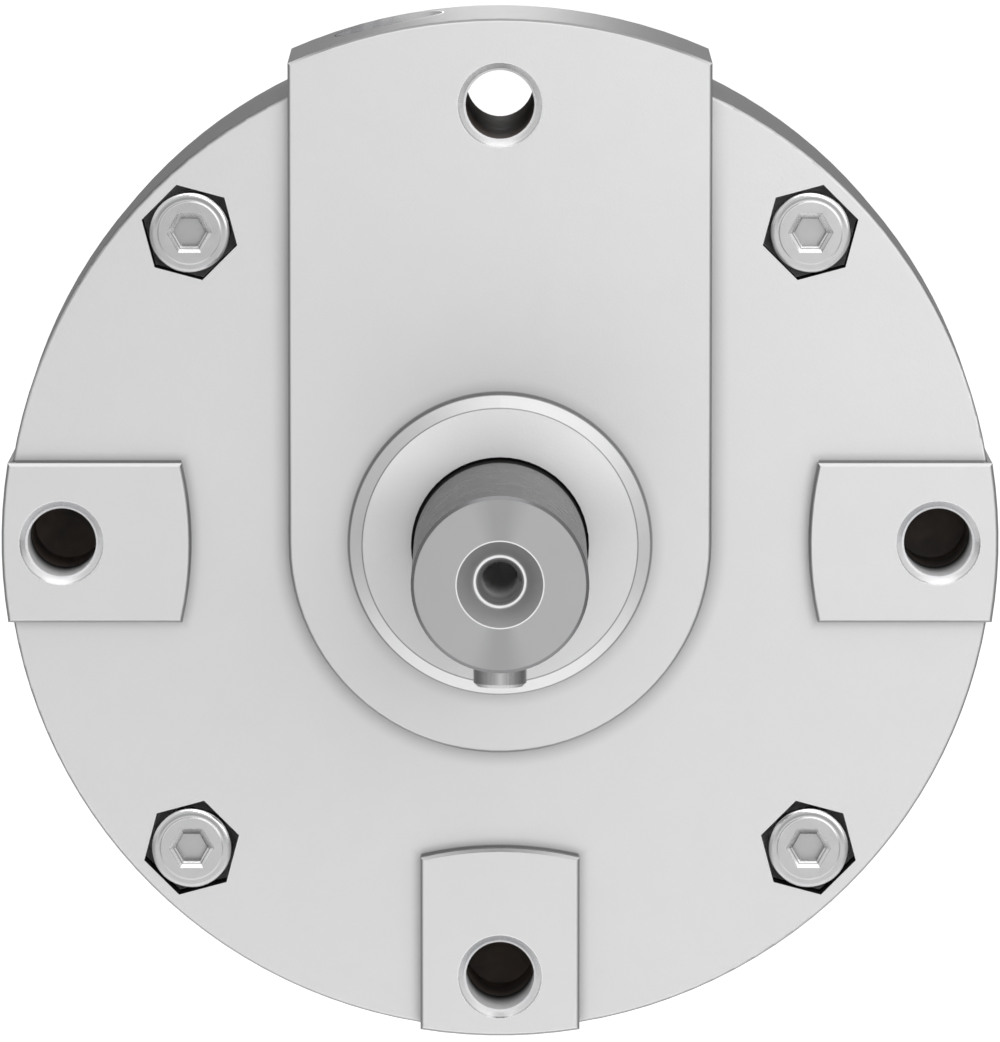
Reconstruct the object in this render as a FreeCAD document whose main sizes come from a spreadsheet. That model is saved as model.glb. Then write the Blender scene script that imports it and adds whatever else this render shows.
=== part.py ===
import FreeCAD, Part
import math
import os

import Sketcher

# Rotary pneumatic actuator: two cast half shells bolted face to face, a single
# vane on a keyed output shaft between them, and a stator block that parts the
# chamber into its two air spaces. Millimetres. The shaft lies along Y and leaves
# the front towards -Y, Z is up. The origin is on the shaft axis, in the plane of
# the front mounting pads.

DRIVING = {
    # casing
    "casing_depth": 43.4,
    "disc_radius": 57.5,
    "disc_step": 2.1,
    "rim_draft": 0.34,
    "tongue_half": 24.6,
    "tongue_reach": 61.0,
    "tongue_draft": 0.45,
    "rear_tongue_reach": 58.0,
    "pad_half": 9.3,
    "pad_reach": 58.0,
    "pad_root": 37.0,
    "pad_arc": 39.9,
    "edge_round": 0.35,
    # hub
    "hub_rise": 2.7,
    "hub_radius": 17.5,
    "hub_bevel_axial": 1.0,
    "hub_lip": 1.5,
    "hub_gap": 0.33,
    # fixing holes and casing screws
    "fixing_circle": 51.0,
    "fixing_radius": 4.0,
    "fixing_bevel": 0.9,
    "bush_radius": 5.0,
    "bush_start": 11.0,
    "bush_web": 2.0,
    "sleeve_start": 1.5,
    "screw_radius": 3.0,
    "screw_gap": 0.2,
    "screw_head_radius": 4.7,
    "screw_head_height": 4.85,
    "screw_head_round": 0.5,
    "screw_length": 35.0,
    "screw_end_bevel": 0.45,
    "screw_socket": 3.2,
    "screw_socket_depth": 2.2,
    "screw_socket_bevel": 0.72,
    "nut_flats": 9.8,
    "nut_height": 5.0,
    "nut_bevel": 0.5,
    "pocket_flats": 9.95,
    "pocket_depth": 4.4,
    # air ports
    "port_offset": 13.0,
    "port_plane": 15.2,
    "port_seat_radius": 6.3,
    "port_seat_level": 57.6,
    "port_radius": 4.4,
    "port_floor": 49.4,
    "rear_seat_level": 54.5,
    "rear_port_floor": 47.4,
    "port_channel_radius": 1.6,
    "port_channel_run": 4.0,
    # chamber, stator and seals
    "chamber_wall": 9.3,
    "chamber_radius": 40.5,
    "ring_groove_inner": 42.3,
    "ring_groove_outer": 44.5,
    "ring_groove_depth": 0.9,
    "stator_gap": 0.3,
    "stator_foot": 10.5,
    "stator_neck": 10.0,
    "stator_neck_level": 34.0,
    "stator_shoulder": 33.5,
    "stop_gap": 0.2,
    "strip_half": 1.5,
    "strip_depth": 2.5,
    "strip_gap": 0.12,
    "stator_pin_radius": 2.0,
    "stator_pin_offset": 8.0,
    "stator_pin_level": 26.0,
    "stator_pin_seat": 4.0,
    "cushion_thickness": 3.2,
    "cushion_inner": 16.0,
    "cushion_outer": 32.5,
    "cushion_margin": 2.4,
    # shaft
    "shaft_radius": 10.0,
    "shaft_reach": 42.3,
    "stub_reach": 10.0,
    "stub_flats": 16.0,
    "stub_flat_length": 8.0,
    "shaft_bevel": 0.35,
    "centre_radius": 4.85,
    "centre_cone_depth": 3.2,
    "centre_throat": 2.95,
    "centre_thread_radius": 2.5,
    "centre_thread_depth": 20.0,
    "centre_point": 1.5,
    "key_width": 6.0,
    "key_height": 6.0,
    "key_seat": 3.5,
    "key_length": 28.0,
    "key_start": 6.2,
    "key_bevel": 0.4,
    # vane
    "rotor_radius": 14.0,
    "rotor_gap": 0.2,
    "vane_half": 4.0,
    "vane_root": 2.0,
    "vane_tip": 38.6,
    "vane_margin": 1.0,
    "vane_groove_half": 2.0,
    "vane_groove_depth": 1.0,
    "vane_groove_start": 14.3,
    "vane_seal_tip": 40.3,
    "vane_seal_gap": 0.1,
    "drive_pin_radius": 2.5,
    "drive_pin_inset": 6.2,
    "drive_pin_half": 13.4,
    # bearings, wear sleeves and shaft seals
    "bearing_width": 7.0,
    "bearing_radius": 16.0,
    "race_inner": 11.9,
    "race_outer": 14.1,
    "ball_pitch": 13.0,
    "ball_radius": 1.75,
    "race_radius": 1.83,
    "ball_count": 12,
    "cage_inner": 12.35,
    "cage_outer": 13.65,
    "cage_width": 4.6,
    "cage_pocket": 1.9,
    "sleeve_radius": 11.3,
    "seal_gap": 0.05,
    "seal_wall": 1.2,
    "seal_flange": 1.0,
    "seal_lip_rise": 1.0,
    "seal_lip_reach": 2.4,
}


class Size:
    """A length that knows its number and the spreadsheet formula that gives it."""

    def __init__(self, value, text):
        self.value = value
        self.text = text

    @staticmethod
    def of(item):
        return item if isinstance(item, Size) else Size(float(item), repr(item))

    def join(self, other, sign, value):
        return Size(value, f"({self.text} {sign} {other.text})")

    def __add__(self, other):
        other = Size.of(other)
        return self.join(other, "+", self.value + other.value)

    def __sub__(self, other):
        other = Size.of(other)
        return self.join(other, "-", self.value - other.value)

    def __mul__(self, other):
        other = Size.of(other)
        return self.join(other, "*", self.value * other.value)

    def __truediv__(self, other):
        other = Size.of(other)
        return self.join(other, "/", self.value / other.value)

    def __neg__(self):
        return Size(-self.value, f"(0 - {self.text})")

    __radd__ = __add__
    __rmul__ = __mul__

    def __rsub__(self, other):
        return Size.of(other) - self

    def leg(self, other):
        """The other leg of a right triangle with this hypotenuse."""
        other = Size.of(other)
        value = math.sqrt(self.value ** 2 - other.value ** 2)
        return Size(value, f"sqrt({self.text} ^ 2 - {other.text} ^ 2)")


doc = FreeCAD.newDocument("rotary_actuator")
sheet = doc.addObject("Spreadsheet::Sheet", "sizes")
for row, (alias, number) in enumerate(DRIVING.items(), start=1):
    sheet.set(f"A{row}", alias)
    sheet.set(f"B{row}", str(number))
    sheet.setAlias(f"B{row}", alias)
doc.recompute()


def cell(alias):
    return Size(float(DRIVING[alias]), f"sizes.{alias}")


def bind(thing, prop, size):
    thing.setExpression(prop, Size.of(size).text)


# ---------------------------------------------------------------- modelling steps

def new_body(name):
    body = doc.addObject("PartDesign::Body", name)
    body.Label = name
    return body


def origin_part(body, role):
    for feature in body.Origin.OriginFeatures:
        if feature.Role == role:
            return feature
    raise RuntimeError(f"{body.Label} has no {role}")


def new_sketch(body, role, offset=0):
    sketch = body.newObject("Sketcher::SketchObject", f"{body.Name}_sketch")
    sketch.AttachmentSupport = [(origin_part(body, role), "")]
    sketch.MapMode = "FlatFace"
    if offset:
        bind(sketch, "AttachmentOffset.Base.z", offset)
    return sketch


def hold_point(sketch, edge, end, along, up):
    """Ties one end of an edge to its place, measured from the sketch origin."""
    for kind, axis, size in (("DistanceX", -2, along), ("DistanceY", -1, up)):
        if size.value == 0:
            sketch.addConstraint(Sketcher.Constraint("PointOnObject", edge, end, axis))
            continue
        number = sketch.addConstraint(
            Sketcher.Constraint(kind, -1, 1, edge, end, size.value))
        bind(sketch, f"Constraints[{number}]", size)


def arc_middle(start, end, radius, side):
    """The middle of an arc that bulges to the right of its chord if side is 1."""
    chord = end - start
    depth = radius - math.sqrt(radius ** 2 - chord.Length ** 2 / 4)
    across = FreeCAD.Vector(chord.y, -chord.x, 0).normalize()
    return (start + end) * 0.5 + across * (depth * side)


def outline(sketch, corners):
    """A closed outline. A corner is (along, up), or (along, up, radius, side)
    where an arc of that radius runs on to the next corner."""
    corners = [tuple(Size.of(item) for item in corner) for corner in corners]
    places = [FreeCAD.Vector(item[0].value, item[1].value, 0) for item in corners]
    first = None
    last = None
    for index, corner in enumerate(corners):
        start = places[index]
        end = places[(index + 1) % len(places)]
        half_round = False
        if len(corner) == 2:
            edge = sketch.addGeometry(Part.LineSegment(start, end))
            ends = (1, 2)
        else:
            radius = corner[2]
            middle = arc_middle(start, end, radius.value, corner[3].value)
            forwards = corner[3].value > 0
            arc = Part.Arc(start, middle, end) if forwards else Part.Arc(end, middle, start)
            edge = sketch.addGeometry(arc)
            ends = (1, 2) if forwards else (2, 1)
            half_round = (end - start).Length > 2 * radius.value - 1e-6
            if not half_round:
                number = sketch.addConstraint(
                    Sketcher.Constraint("Radius", edge, radius.value))
                bind(sketch, f"Constraints[{number}]", radius)
        if last and half_round:
            sketch.addConstraint(
                Sketcher.Constraint("Tangent", last[0], last[1], edge, ends[0]))
        elif last:
            sketch.addConstraint(
                Sketcher.Constraint("Coincident", last[0], last[1], edge, ends[0]))
        else:
            first = (edge, ends[0])
        hold_point(sketch, edge, ends[0], corner[0], corner[1])
        last = (edge, ends[1])
    sketch.addConstraint(Sketcher.Constraint("Coincident", *last, *first))


def round_outline(sketch, along, up, radius):
    along, up, radius = Size.of(along), Size.of(up), Size.of(radius)
    centre = FreeCAD.Vector(along.value, up.value, 0)
    upright = FreeCAD.Vector(0, 0, 1)
    edge = sketch.addGeometry(Part.Circle(centre, upright, radius.value))
    number = sketch.addConstraint(Sketcher.Constraint("Radius", edge, radius.value))
    bind(sketch, f"Constraints[{number}]", radius)
    hold_point(sketch, edge, 3, along, up)


def hexagon(sketch, along, up, flats, turn):
    """A hexagon with one corner turned by so many degrees from the sketch's X."""
    corner = flats / math.sqrt(3)
    corners = []
    for step in range(6):
        angle = math.radians(turn + 60 * step)
        corners.append((along + corner * round(math.cos(angle), 9),
                        up + corner * round(math.sin(angle), 9)))
    outline(sketch, corners)


def turned(body, corners, kind="Revolution"):
    """A profile of (axial, radial) corners spun round the body's Y axis."""
    sketch = new_sketch(body, "YZ_Plane")
    outline(sketch, corners)
    doc.recompute()
    spin = body.newObject(f"PartDesign::{kind}", f"{body.Name}_{kind}")
    spin.Profile = sketch
    spin.ReferenceAxis = (sketch, ["H_Axis"])
    spin.Angle = 360
    doc.recompute()
    return spin


def pushed(body, sketch, length=None, kind="Pocket", back=False, middle=False):
    """A pad or pocket of one sketch; no length means through everything."""
    doc.recompute()
    push = body.newObject(f"PartDesign::{kind}", f"{body.Name}_{kind}")
    push.Profile = sketch
    push.Reversed = back
    if middle:
        push.SideType = "Symmetric"
    if length is None:
        push.Type = "ThroughAll"
    else:
        bind(push, "Length", length)
    doc.recompute()
    return push


def round_the_axis(body, feature, count, angle):
    pattern = body.newObject("PartDesign::PolarPattern", f"{body.Name}_pattern")
    pattern.Originals = [feature]
    pattern.Axis = (origin_part(body, "Y_Axis"), [""])
    pattern.Angle = angle
    pattern.Occurrences = count
    body.Tip = pattern
    doc.recompute()
    return pattern


def edges_where(body, test):
    shape = body.Tip.Shape
    return [f"Edge{number}" for number, edge in enumerate(shape.Edges, start=1) if test(edge)]


def finish_edges(body, names, kind, prop, size):
    base = body.Tip
    feature = body.newObject(f"PartDesign::{kind}", f"{body.Name}_{kind}")
    feature.Base = (base, names)
    bind(feature, prop, size)
    doc.recompute()
    return feature


def circle_at(edge, level, radius):
    """True for a whole circle round Y at this level with this radius."""
    curve = edge.Curve
    return (isinstance(curve, Part.Circle) and len(edge.Vertexes) == 1
            and abs(curve.Center.y - level) < 1e-4
            and abs(curve.Radius - radius) < 1e-4)


def flat_at(edge, level):
    box = edge.BoundBox
    return abs(box.YMin - level) < 1e-4 and abs(box.YMax - level) < 1e-4


def place(thing, along=0, back=0, up=0, turn=0):
    """Turns a piece round Z and puts it at (along, back, up)."""
    thing.Placement = FreeCAD.Placement(
        FreeCAD.Vector(), FreeCAD.Rotation(FreeCAD.Vector(0, 0, 1), turn))
    for axis, size in zip("xyz", (along, back, up)):
        bind(thing, f"Placement.Base.{axis}", size)


def group(name, members):
    bundle = doc.addObject("Part::Compound", name)
    bundle.Label = name
    bundle.Links = members
    return bundle


# ------------------------------------------------------------ sizes worked out once

DIAGONAL = round(math.sqrt(0.5), 9)
DEPTH = cell("casing_depth")
HUB = cell("hub_rise")
HALF = DEPTH / 2
DISC = HUB + cell("disc_step")
PARTING = HUB + HALF
WALL = HUB + cell("chamber_wall")
CHAMBER_WIDTH = DEPTH - cell("chamber_wall") * 2
SHAFT = cell("shaft_radius")
SCREW_SQUARE = cell("fixing_circle") * DIAGONAL
SCREW_START = cell("disc_step") + cell("pocket_depth")
BEARING_START = cell("hub_lip") - HUB
BEARING_END = BEARING_START + cell("bearing_width")
ROTOR_START = cell("chamber_wall") + cell("rotor_gap")
ROTOR_WIDTH = DEPTH - ROTOR_START * 2
QUARTER_TURNS = (0, 90, 180, 270)
# a corner arc a touch larger than its setback keeps a clean start on the flat
ROUNDING = 1.02
# how far a cutting outline runs past the metal it cuts
CLEAR = 2


# ---------------------------------------------------------------- casing

def casing_half(name, reach, port_seat, port_floor):
    """One die-cast half shell, hub face at y = 0 and parting face at the back."""
    body = new_body(name)
    disc = cell("disc_radius")
    hub = cell("hub_radius")
    edge = cell("edge_round")
    turned(body, [
        (0, 0), (0, cell("bearing_radius")), (cell("hub_bevel_axial"), hub), (DISC, hub),
        (DISC, disc - edge, edge * ROUNDING, -1), (DISC + edge, disc),
        (PARTING, disc + cell("rim_draft")), (PARTING, 0)])

    bar = new_sketch(body, "XZ_Plane", -HUB)
    wide = cell("tongue_half")
    top = reach + CLEAR
    outline(bar, [(-wide, 0), (wide, 0), (wide, top), (-wide, top)])
    pushed(body, bar, HALF, "Pad", back=True)
    end = new_sketch(body, "XZ_Plane", -HUB)
    round_outline(end, 0, 0, wide)
    pushed(body, end, HALF, "Pad", back=True)
    past_corners = reach + wide / 2
    turned(body, [
        (HUB, reach), (PARTING, reach + cell("tongue_draft")),
        (PARTING, past_corners), (HUB, past_corners)], "Groove")

    pad = new_sketch(body, "XZ_Plane", -HUB)
    half = cell("pad_half")
    rim = cell("pad_reach").leg(half)
    root = cell("pad_root")
    outline(pad, [
        (root, -half), (rim, -half, cell("pad_reach"), 1),
        (rim, half), (root, half, cell("pad_arc"), 1)])
    side_pad = pushed(body, pad, HALF, "Pad", back=True)
    round_the_axis(body, side_pad, 3, 180)
    soften_outer_edges(body)

    seat = cell("bearing_radius")
    chamber = cell("chamber_radius")
    lip = SHAFT + cell("hub_gap")
    turned(body, [
        (0, 0), (0, lip), (cell("hub_lip"), lip), (cell("hub_lip"), seat), (WALL, seat),
        (WALL, chamber), (PARTING, chamber), (PARTING, 0)], "Groove")
    groove_floor = PARTING - cell("ring_groove_depth")
    turned(body, [
        (groove_floor, cell("ring_groove_inner")), (PARTING, cell("ring_groove_inner")),
        (PARTING, cell("ring_groove_outer")),
        (groove_floor, cell("ring_groove_outer"))], "Groove")
    drill_casing(body, reach + CLEAR, port_seat, port_floor)
    return body


def soften_outer_edges(body):
    """The small bevel round the raised pads and the tongue, but not at the hub's foot."""
    level = HUB.value
    hub = cell("hub_radius").value

    def at_hub(edge):
        return hasattr(edge.Curve, "Radius") and abs(edge.Curve.Radius - hub) < 1e-4

    outer = edges_where(body, lambda edge: flat_at(edge, level) and not at_hub(edge))
    finish_edges(body, outer, "Chamfer", "Size", cell("edge_round"))


def drill_casing(body, port_start, port_seat, port_floor):
    """Fixing holes, bush seats, screw holes, hex pockets, port and pin holes."""
    circle = cell("fixing_circle")
    hole = new_sketch(body, "XZ_Plane")
    round_outline(hole, 0, circle, cell("fixing_radius"))
    round_the_axis(body, pushed(body, hole), 4, 360)
    mouths = edges_where(
        body, lambda edge: circle_at(edge, HUB.value, cell("fixing_radius").value))
    finish_edges(body, mouths, "Chamfer", "Size", cell("fixing_bevel"))

    bush_seat = new_sketch(body, "XZ_Plane", -PARTING)
    round_outline(bush_seat, circle, 0, cell("bush_radius"))
    depth = HALF - cell("bush_start")
    round_the_axis(body, pushed(body, bush_seat, depth, back=True), 3, 180)
    sleeve_seat = new_sketch(body, "XZ_Plane", -PARTING)
    round_outline(sleeve_seat, 0, circle, cell("bush_radius"))
    pushed(body, sleeve_seat, HALF - cell("sleeve_start"), back=True)

    screw = new_sketch(body, "XZ_Plane")
    round_outline(screw, SCREW_SQUARE, SCREW_SQUARE, cell("screw_radius") + cell("screw_gap"))
    round_the_axis(body, pushed(body, screw), 4, 360)
    pocket = new_sketch(body, "XZ_Plane", -DISC)
    hexagon(pocket, SCREW_SQUARE, SCREW_SQUARE, cell("pocket_flats"), 15)
    round_the_axis(body, pushed(body, pocket, cell("pocket_depth")), 4, 360)

    left = -cell("port_offset")
    back = HUB + cell("port_plane")
    for radius, floor in (
            ("port_seat_radius", port_seat),
            ("port_radius", port_floor),
            ("port_channel_radius", cell("chamber_radius") - cell("port_channel_run"))):
        drill = new_sketch(body, "XY_Plane", port_start)
        round_outline(drill, left, back, cell(radius))
        pushed(body, drill, port_start - floor)

    pins = new_sketch(body, "XZ_Plane", -WALL)
    for side in (-1, 1):
        round_outline(pins, cell("stator_pin_offset") * side,
                      cell("stator_pin_level"), cell("stator_pin_radius"))
    pushed(body, pins, cell("stator_pin_seat"), back=True)


def casing():
    """The front half rises higher at the top; the rear half stays low behind it."""
    front = casing_half("front_housing", cell("tongue_reach"),
                        cell("port_seat_level"), cell("port_floor"))
    place(front, back=-HUB)
    rear = casing_half("rear_housing", cell("rear_tongue_reach"),
                       cell("rear_seat_level"), cell("rear_port_floor"))
    place(rear, back=DEPTH + HUB, turn=180)
    return [front, rear]


def housing_seal():
    """Round sealing ring, pressed to fill its groove in the parting plane."""
    body = new_body("housing_seal")
    width = cell("ring_groove_depth") * 2
    inner = cell("ring_groove_inner")
    outer = cell("ring_groove_outer")
    turned(body, [(0, inner), (width, inner), (width, outer), (0, outer)])
    place(body, back=HALF - cell("ring_groove_depth"))
    return body


def housing_screws():
    """Four low-head socket screws, heads sunk in the front hex pockets."""
    members = []
    head = cell("screw_head_height")
    radius = cell("screw_head_radius")
    rounding = cell("screw_head_round")
    shank = cell("screw_radius")
    bevel = cell("screw_end_bevel")
    for number, angle in enumerate(QUARTER_TURNS):
        body = new_body(f"housing_screw_{number + 1}")
        end = head + cell("screw_length")
        turned(body, [
            (0, 0), (0, radius - rounding, rounding * ROUNDING, -1), (rounding, radius),
            (head, radius), (head, shank), (end - bevel, shank), (end, shank - bevel),
            (end, 0)])
        socket = new_sketch(body, "XZ_Plane")
        hexagon(socket, Size.of(0), Size.of(0), cell("screw_socket"), 0)
        pushed(body, socket, cell("screw_socket_depth"))
        mouth = edges_where(
            body, lambda edge: flat_at(edge, 0) and isinstance(edge.Curve, Part.Line))
        finish_edges(body, mouth, "Chamfer", "Size", cell("screw_socket_bevel"))
        along = SCREW_SQUARE * (1 if angle in (0, 270) else -1)
        up = SCREW_SQUARE * (1 if angle in (0, 90) else -1)
        place(body, along, SCREW_START - head, up)
        members.append(body)
    return group("housing_screws", members)


def housing_nuts():
    """Four hex nuts in the rear pockets, one flat facing outwards."""
    members = []
    for number, angle in enumerate(QUARTER_TURNS):
        body = new_body(f"housing_nut_{number + 1}")
        blank = new_sketch(body, "XZ_Plane")
        hexagon(blank, Size.of(0), Size.of(0), cell("nut_flats"), 15 + angle)
        pushed(body, blank, cell("nut_height"), "Pad", back=True)
        height = cell("nut_height")
        past_corners = cell("nut_flats")
        touch = cell("nut_flats") / 2
        rise = (past_corners - touch) * cell("nut_bevel") / touch
        turned(body, [(height, touch), (height, past_corners),
                      (height - rise, past_corners)], "Groove")
        hole = new_sketch(body, "XZ_Plane")
        round_outline(hole, 0, 0, cell("screw_radius"))
        pushed(body, hole)
        along = SCREW_SQUARE * (1 if angle in (0, 270) else -1)
        up = SCREW_SQUARE * (1 if angle in (0, 90) else -1)
        place(body, along, DEPTH - SCREW_START, up)
        members.append(body)
    return group("housing_nuts", members)


def top_mount_sleeve():
    """Plain sleeve right through the top fixing hole; it also lines up the shells."""
    body = new_body("top_mount_sleeve")
    length = DEPTH - cell("sleeve_start") * 2
    inner = cell("fixing_radius")
    outer = cell("bush_radius")
    turned(body, [(0, inner), (0, outer), (length, outer), (length, inner)])
    place(body, 0, cell("sleeve_start"), cell("fixing_circle"))
    return body


def mount_bushes():
    """Three bushes closed by a web, held between the shells behind their holes."""
    members = []
    length = DEPTH - cell("bush_start") * 2
    inner = cell("fixing_radius")
    outer = cell("bush_radius")
    web_front = (length - cell("bush_web")) / 2
    web_back = (length + cell("bush_web")) / 2
    circle = cell("fixing_circle")
    for name, along, up in (("right", circle, 0), ("left", -circle, 0), ("low", 0, -circle)):
        body = new_body(f"mount_bush_{name}")
        turned(body, [
            (0, inner), (0, outer), (length, outer), (length, inner),
            (web_back, inner), (web_back, 0), (web_front, 0), (web_front, inner)])
        place(body, along, cell("bush_start"), up)
        members.append(body)
    return group("mount_bushes", members)


# ---------------------------------------------------------------- stator

def beside_vane(reach, offset, side=1):
    """A point beside the vane's line at full swing, 45 degrees from the top."""
    return ((reach - offset) * DIAGONAL * side, (reach + offset) * DIAGONAL)


def flank_offset():
    return cell("vane_half") + cell("stop_gap") + cell("cushion_thickness")


def stator():
    """Partition block: neck at the top for the air passages, slot for the strip."""
    body = new_body("stator")
    gap = cell("rotor_radius") + cell("stator_gap")
    neck = cell("stator_neck")
    chamber = cell("chamber_radius")
    foot_along, foot_up = beside_vane(cell("stator_foot"), flank_offset())
    wide, shoulder = beside_vane(cell("stator_shoulder"), flank_offset())
    top = cell("stator_neck_level")
    block = new_sketch(body, "XZ_Plane")
    outline(block, [
        (-foot_along, foot_up), (foot_along, foot_up), (wide, shoulder), (neck, top),
        (neck, chamber.leg(neck), chamber, 1), (-neck, chamber.leg(neck)),
        (-neck, top), (-wide, shoulder)])
    pushed(body, block, CHAMBER_WIDTH, "Pad", back=True)
    turned(body, [(0, 0), (0, gap), (CHAMBER_WIDTH, gap), (CHAMBER_WIDTH, 0)], "Groove")
    slot = new_sketch(body, "XZ_Plane")
    half = cell("strip_half")
    outline(slot, [(-half, foot_up), (half, foot_up), (half, gap + cell("strip_depth")),
                   (-half, gap + cell("strip_depth"))])
    pushed(body, slot)
    pins = new_sketch(body, "XZ_Plane")
    for side in (-1, 1):
        round_outline(pins, cell("stator_pin_offset") * side,
                      cell("stator_pin_level"), cell("stator_pin_radius"))
    pushed(body, pins)
    place(body, back=cell("chamber_wall"))
    return body


def stator_seal():
    """Rubber strip that closes the gap between stator and rotor hub."""
    body = new_body("stator_seal")
    half = cell("strip_half")
    low = cell("rotor_radius") + cell("strip_gap")
    top = cell("rotor_radius") + cell("stator_gap") + cell("strip_depth")
    strip = new_sketch(body, "XZ_Plane")
    outline(strip, [(-half, low), (half, low), (half, top), (-half, top)])
    pushed(body, strip, CHAMBER_WIDTH, "Pad", back=True)
    place(body, back=cell("chamber_wall"))
    return body


def stator_pins():
    """Two dowels through the stator into both shells."""
    members = []
    for side, name in ((-1, "left"), (1, "right")):
        pin = doc.addObject("Part::Cylinder", f"stator_pin_{name}")
        bind(pin, "Radius", cell("stator_pin_radius"))
        bind(pin, "Height", CHAMBER_WIDTH + cell("stator_pin_seat") * 2)
        pin.Placement.Rotation = FreeCAD.Rotation(FreeCAD.Vector(1, 0, 0), -90)
        bind(pin, "Placement.Base.x", cell("stator_pin_offset") * side)
        bind(pin, "Placement.Base.y", cell("chamber_wall") - cell("stator_pin_seat"))
        bind(pin, "Placement.Base.z", cell("stator_pin_level"))
        members.append(pin)
    return group("stator_pins", members)


def stop_cushion(name, side):
    """Rubber pad bonded to one flank of the stator, met by the vane at full swing."""
    body = new_body(name)
    margin = cell("cushion_margin")
    face = flank_offset() - cell("cushion_thickness")
    pad = new_sketch(body, "XZ_Plane")
    outline(pad, [
        beside_vane(cell("cushion_inner"), flank_offset(), side),
        beside_vane(cell("cushion_outer"), flank_offset(), side),
        beside_vane(cell("cushion_outer"), face, side),
        beside_vane(cell("cushion_inner"), face, side)])
    pushed(body, pad, CHAMBER_WIDTH - margin * 2, "Pad", back=True)
    place(body, back=cell("chamber_wall") + margin)
    return body


# ---------------------------------------------------------------- shaft and vane

def output_shaft():
    """Turned and ground shaft, keyway below at rest, threaded centre hole."""
    body = new_body("output_shaft")
    front = cell("shaft_reach")
    length = front + DEPTH + HUB + cell("stub_reach")
    bevel = cell("shaft_bevel")
    drill = cell("centre_thread_depth")
    thread = cell("centre_thread_radius")
    cone = cell("centre_cone_depth")
    turned(body, [
        (0, cell("centre_radius")), (0, SHAFT - bevel), (bevel, SHAFT), (length - bevel, SHAFT),
        (length, SHAFT - bevel), (length, 0), (drill + cell("centre_point"), 0), (drill, thread),
        (cone, thread), (cone, cell("centre_throat"))])

    half = cell("key_width") / 2
    start = cell("key_start") + half
    end = cell("key_start") + cell("key_length") - half
    keyway = new_sketch(body, "XY_Plane", -(SHAFT + CLEAR))
    outline(keyway, [
        (half, start), (half, end, half, 1), (-half, end), (-half, start, half, 1)])
    pushed(body, keyway, cell("key_seat") + CLEAR, back=True)

    flat = cell("stub_flats") / 2
    for side in (-1, 1):
        cut = new_sketch(body, "YZ_Plane")
        outline(cut, [
            (length - cell("stub_flat_length"), flat * side), (length + CLEAR, flat * side),
            (length + CLEAR, (SHAFT + CLEAR) * side),
            (length - cell("stub_flat_length"), (SHAFT + CLEAR) * side)])
        pushed(body, cut, (SHAFT + CLEAR) * 2, middle=True)
    cross = new_sketch(body, "YZ_Plane")
    for level in drive_pin_levels():
        round_outline(cross, front + level, 0, cell("drive_pin_radius"))
    pushed(body, cross, (SHAFT + CLEAR) * 2, middle=True)
    place(body, back=-front)
    return body


def drive_pin_levels():
    """Where the two cross pins sit along the shaft, from the mounting face."""
    inset = ROTOR_START + cell("drive_pin_inset")
    return [inset, DEPTH - inset]


def shaft_key():
    """Parallel key with round ends, standing out of the shaft downwards at rest."""
    body = new_body("shaft_key")
    half = cell("key_width") / 2
    length = cell("key_length")
    plan = new_sketch(body, "XY_Plane")
    outline(plan, [
        (half, half), (half, length - half, half, 1),
        (-half, length - half), (-half, half, half, 1)])
    pushed(body, plan, cell("key_height"), "Pad")
    low = edges_where(body, lambda edge: abs(edge.BoundBox.ZMax) < 1e-4)
    finish_edges(body, low, "Chamfer", "Size", cell("key_bevel"))
    seat = SHAFT - cell("key_seat")
    place(body, 0, cell("key_start") - cell("shaft_reach"), -(seat + cell("key_height")))
    return body


def vane_rotor():
    """Hub on the shaft with one vane; a groove round the vane takes its seal."""
    body = new_body("vane_rotor")
    hub = cell("rotor_radius")
    turned(body, [(0, SHAFT), (ROTOR_WIDTH, SHAFT), (ROTOR_WIDTH, hub), (0, hub)])
    margin = cell("vane_margin")
    tip = cell("vane_tip")
    root = hub - cell("vane_root")
    plate = new_sketch(body, "YZ_Plane")
    outline(plate, [
        (margin, -root), (ROTOR_WIDTH - margin, -root),
        (ROTOR_WIDTH - margin, -tip), (margin, -tip)])
    pushed(body, plate, cell("vane_half") * 2, "Pad", middle=True)
    floor = cell("vane_groove_depth")
    start = cell("vane_groove_start")
    groove = new_sketch(body, "YZ_Plane")
    outline(groove, [
        (margin - CLEAR, -start), (margin + floor, -start),
        (margin + floor, -(tip - floor)), (ROTOR_WIDTH - margin - floor, -(tip - floor)),
        (ROTOR_WIDTH - margin - floor, -start), (ROTOR_WIDTH - margin + CLEAR, -start),
        (ROTOR_WIDTH - margin + CLEAR, -(tip + CLEAR)), (margin - CLEAR, -(tip + CLEAR))])
    pushed(body, groove, cell("vane_groove_half") * 2, middle=True)
    cross = new_sketch(body, "YZ_Plane")
    for level in drive_pin_levels():
        round_outline(cross, level - ROTOR_START, 0, cell("drive_pin_radius"))
    pushed(body, cross, cell("drive_pin_half") * 2, middle=True)
    place(body, back=ROTOR_START)
    return body


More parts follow.
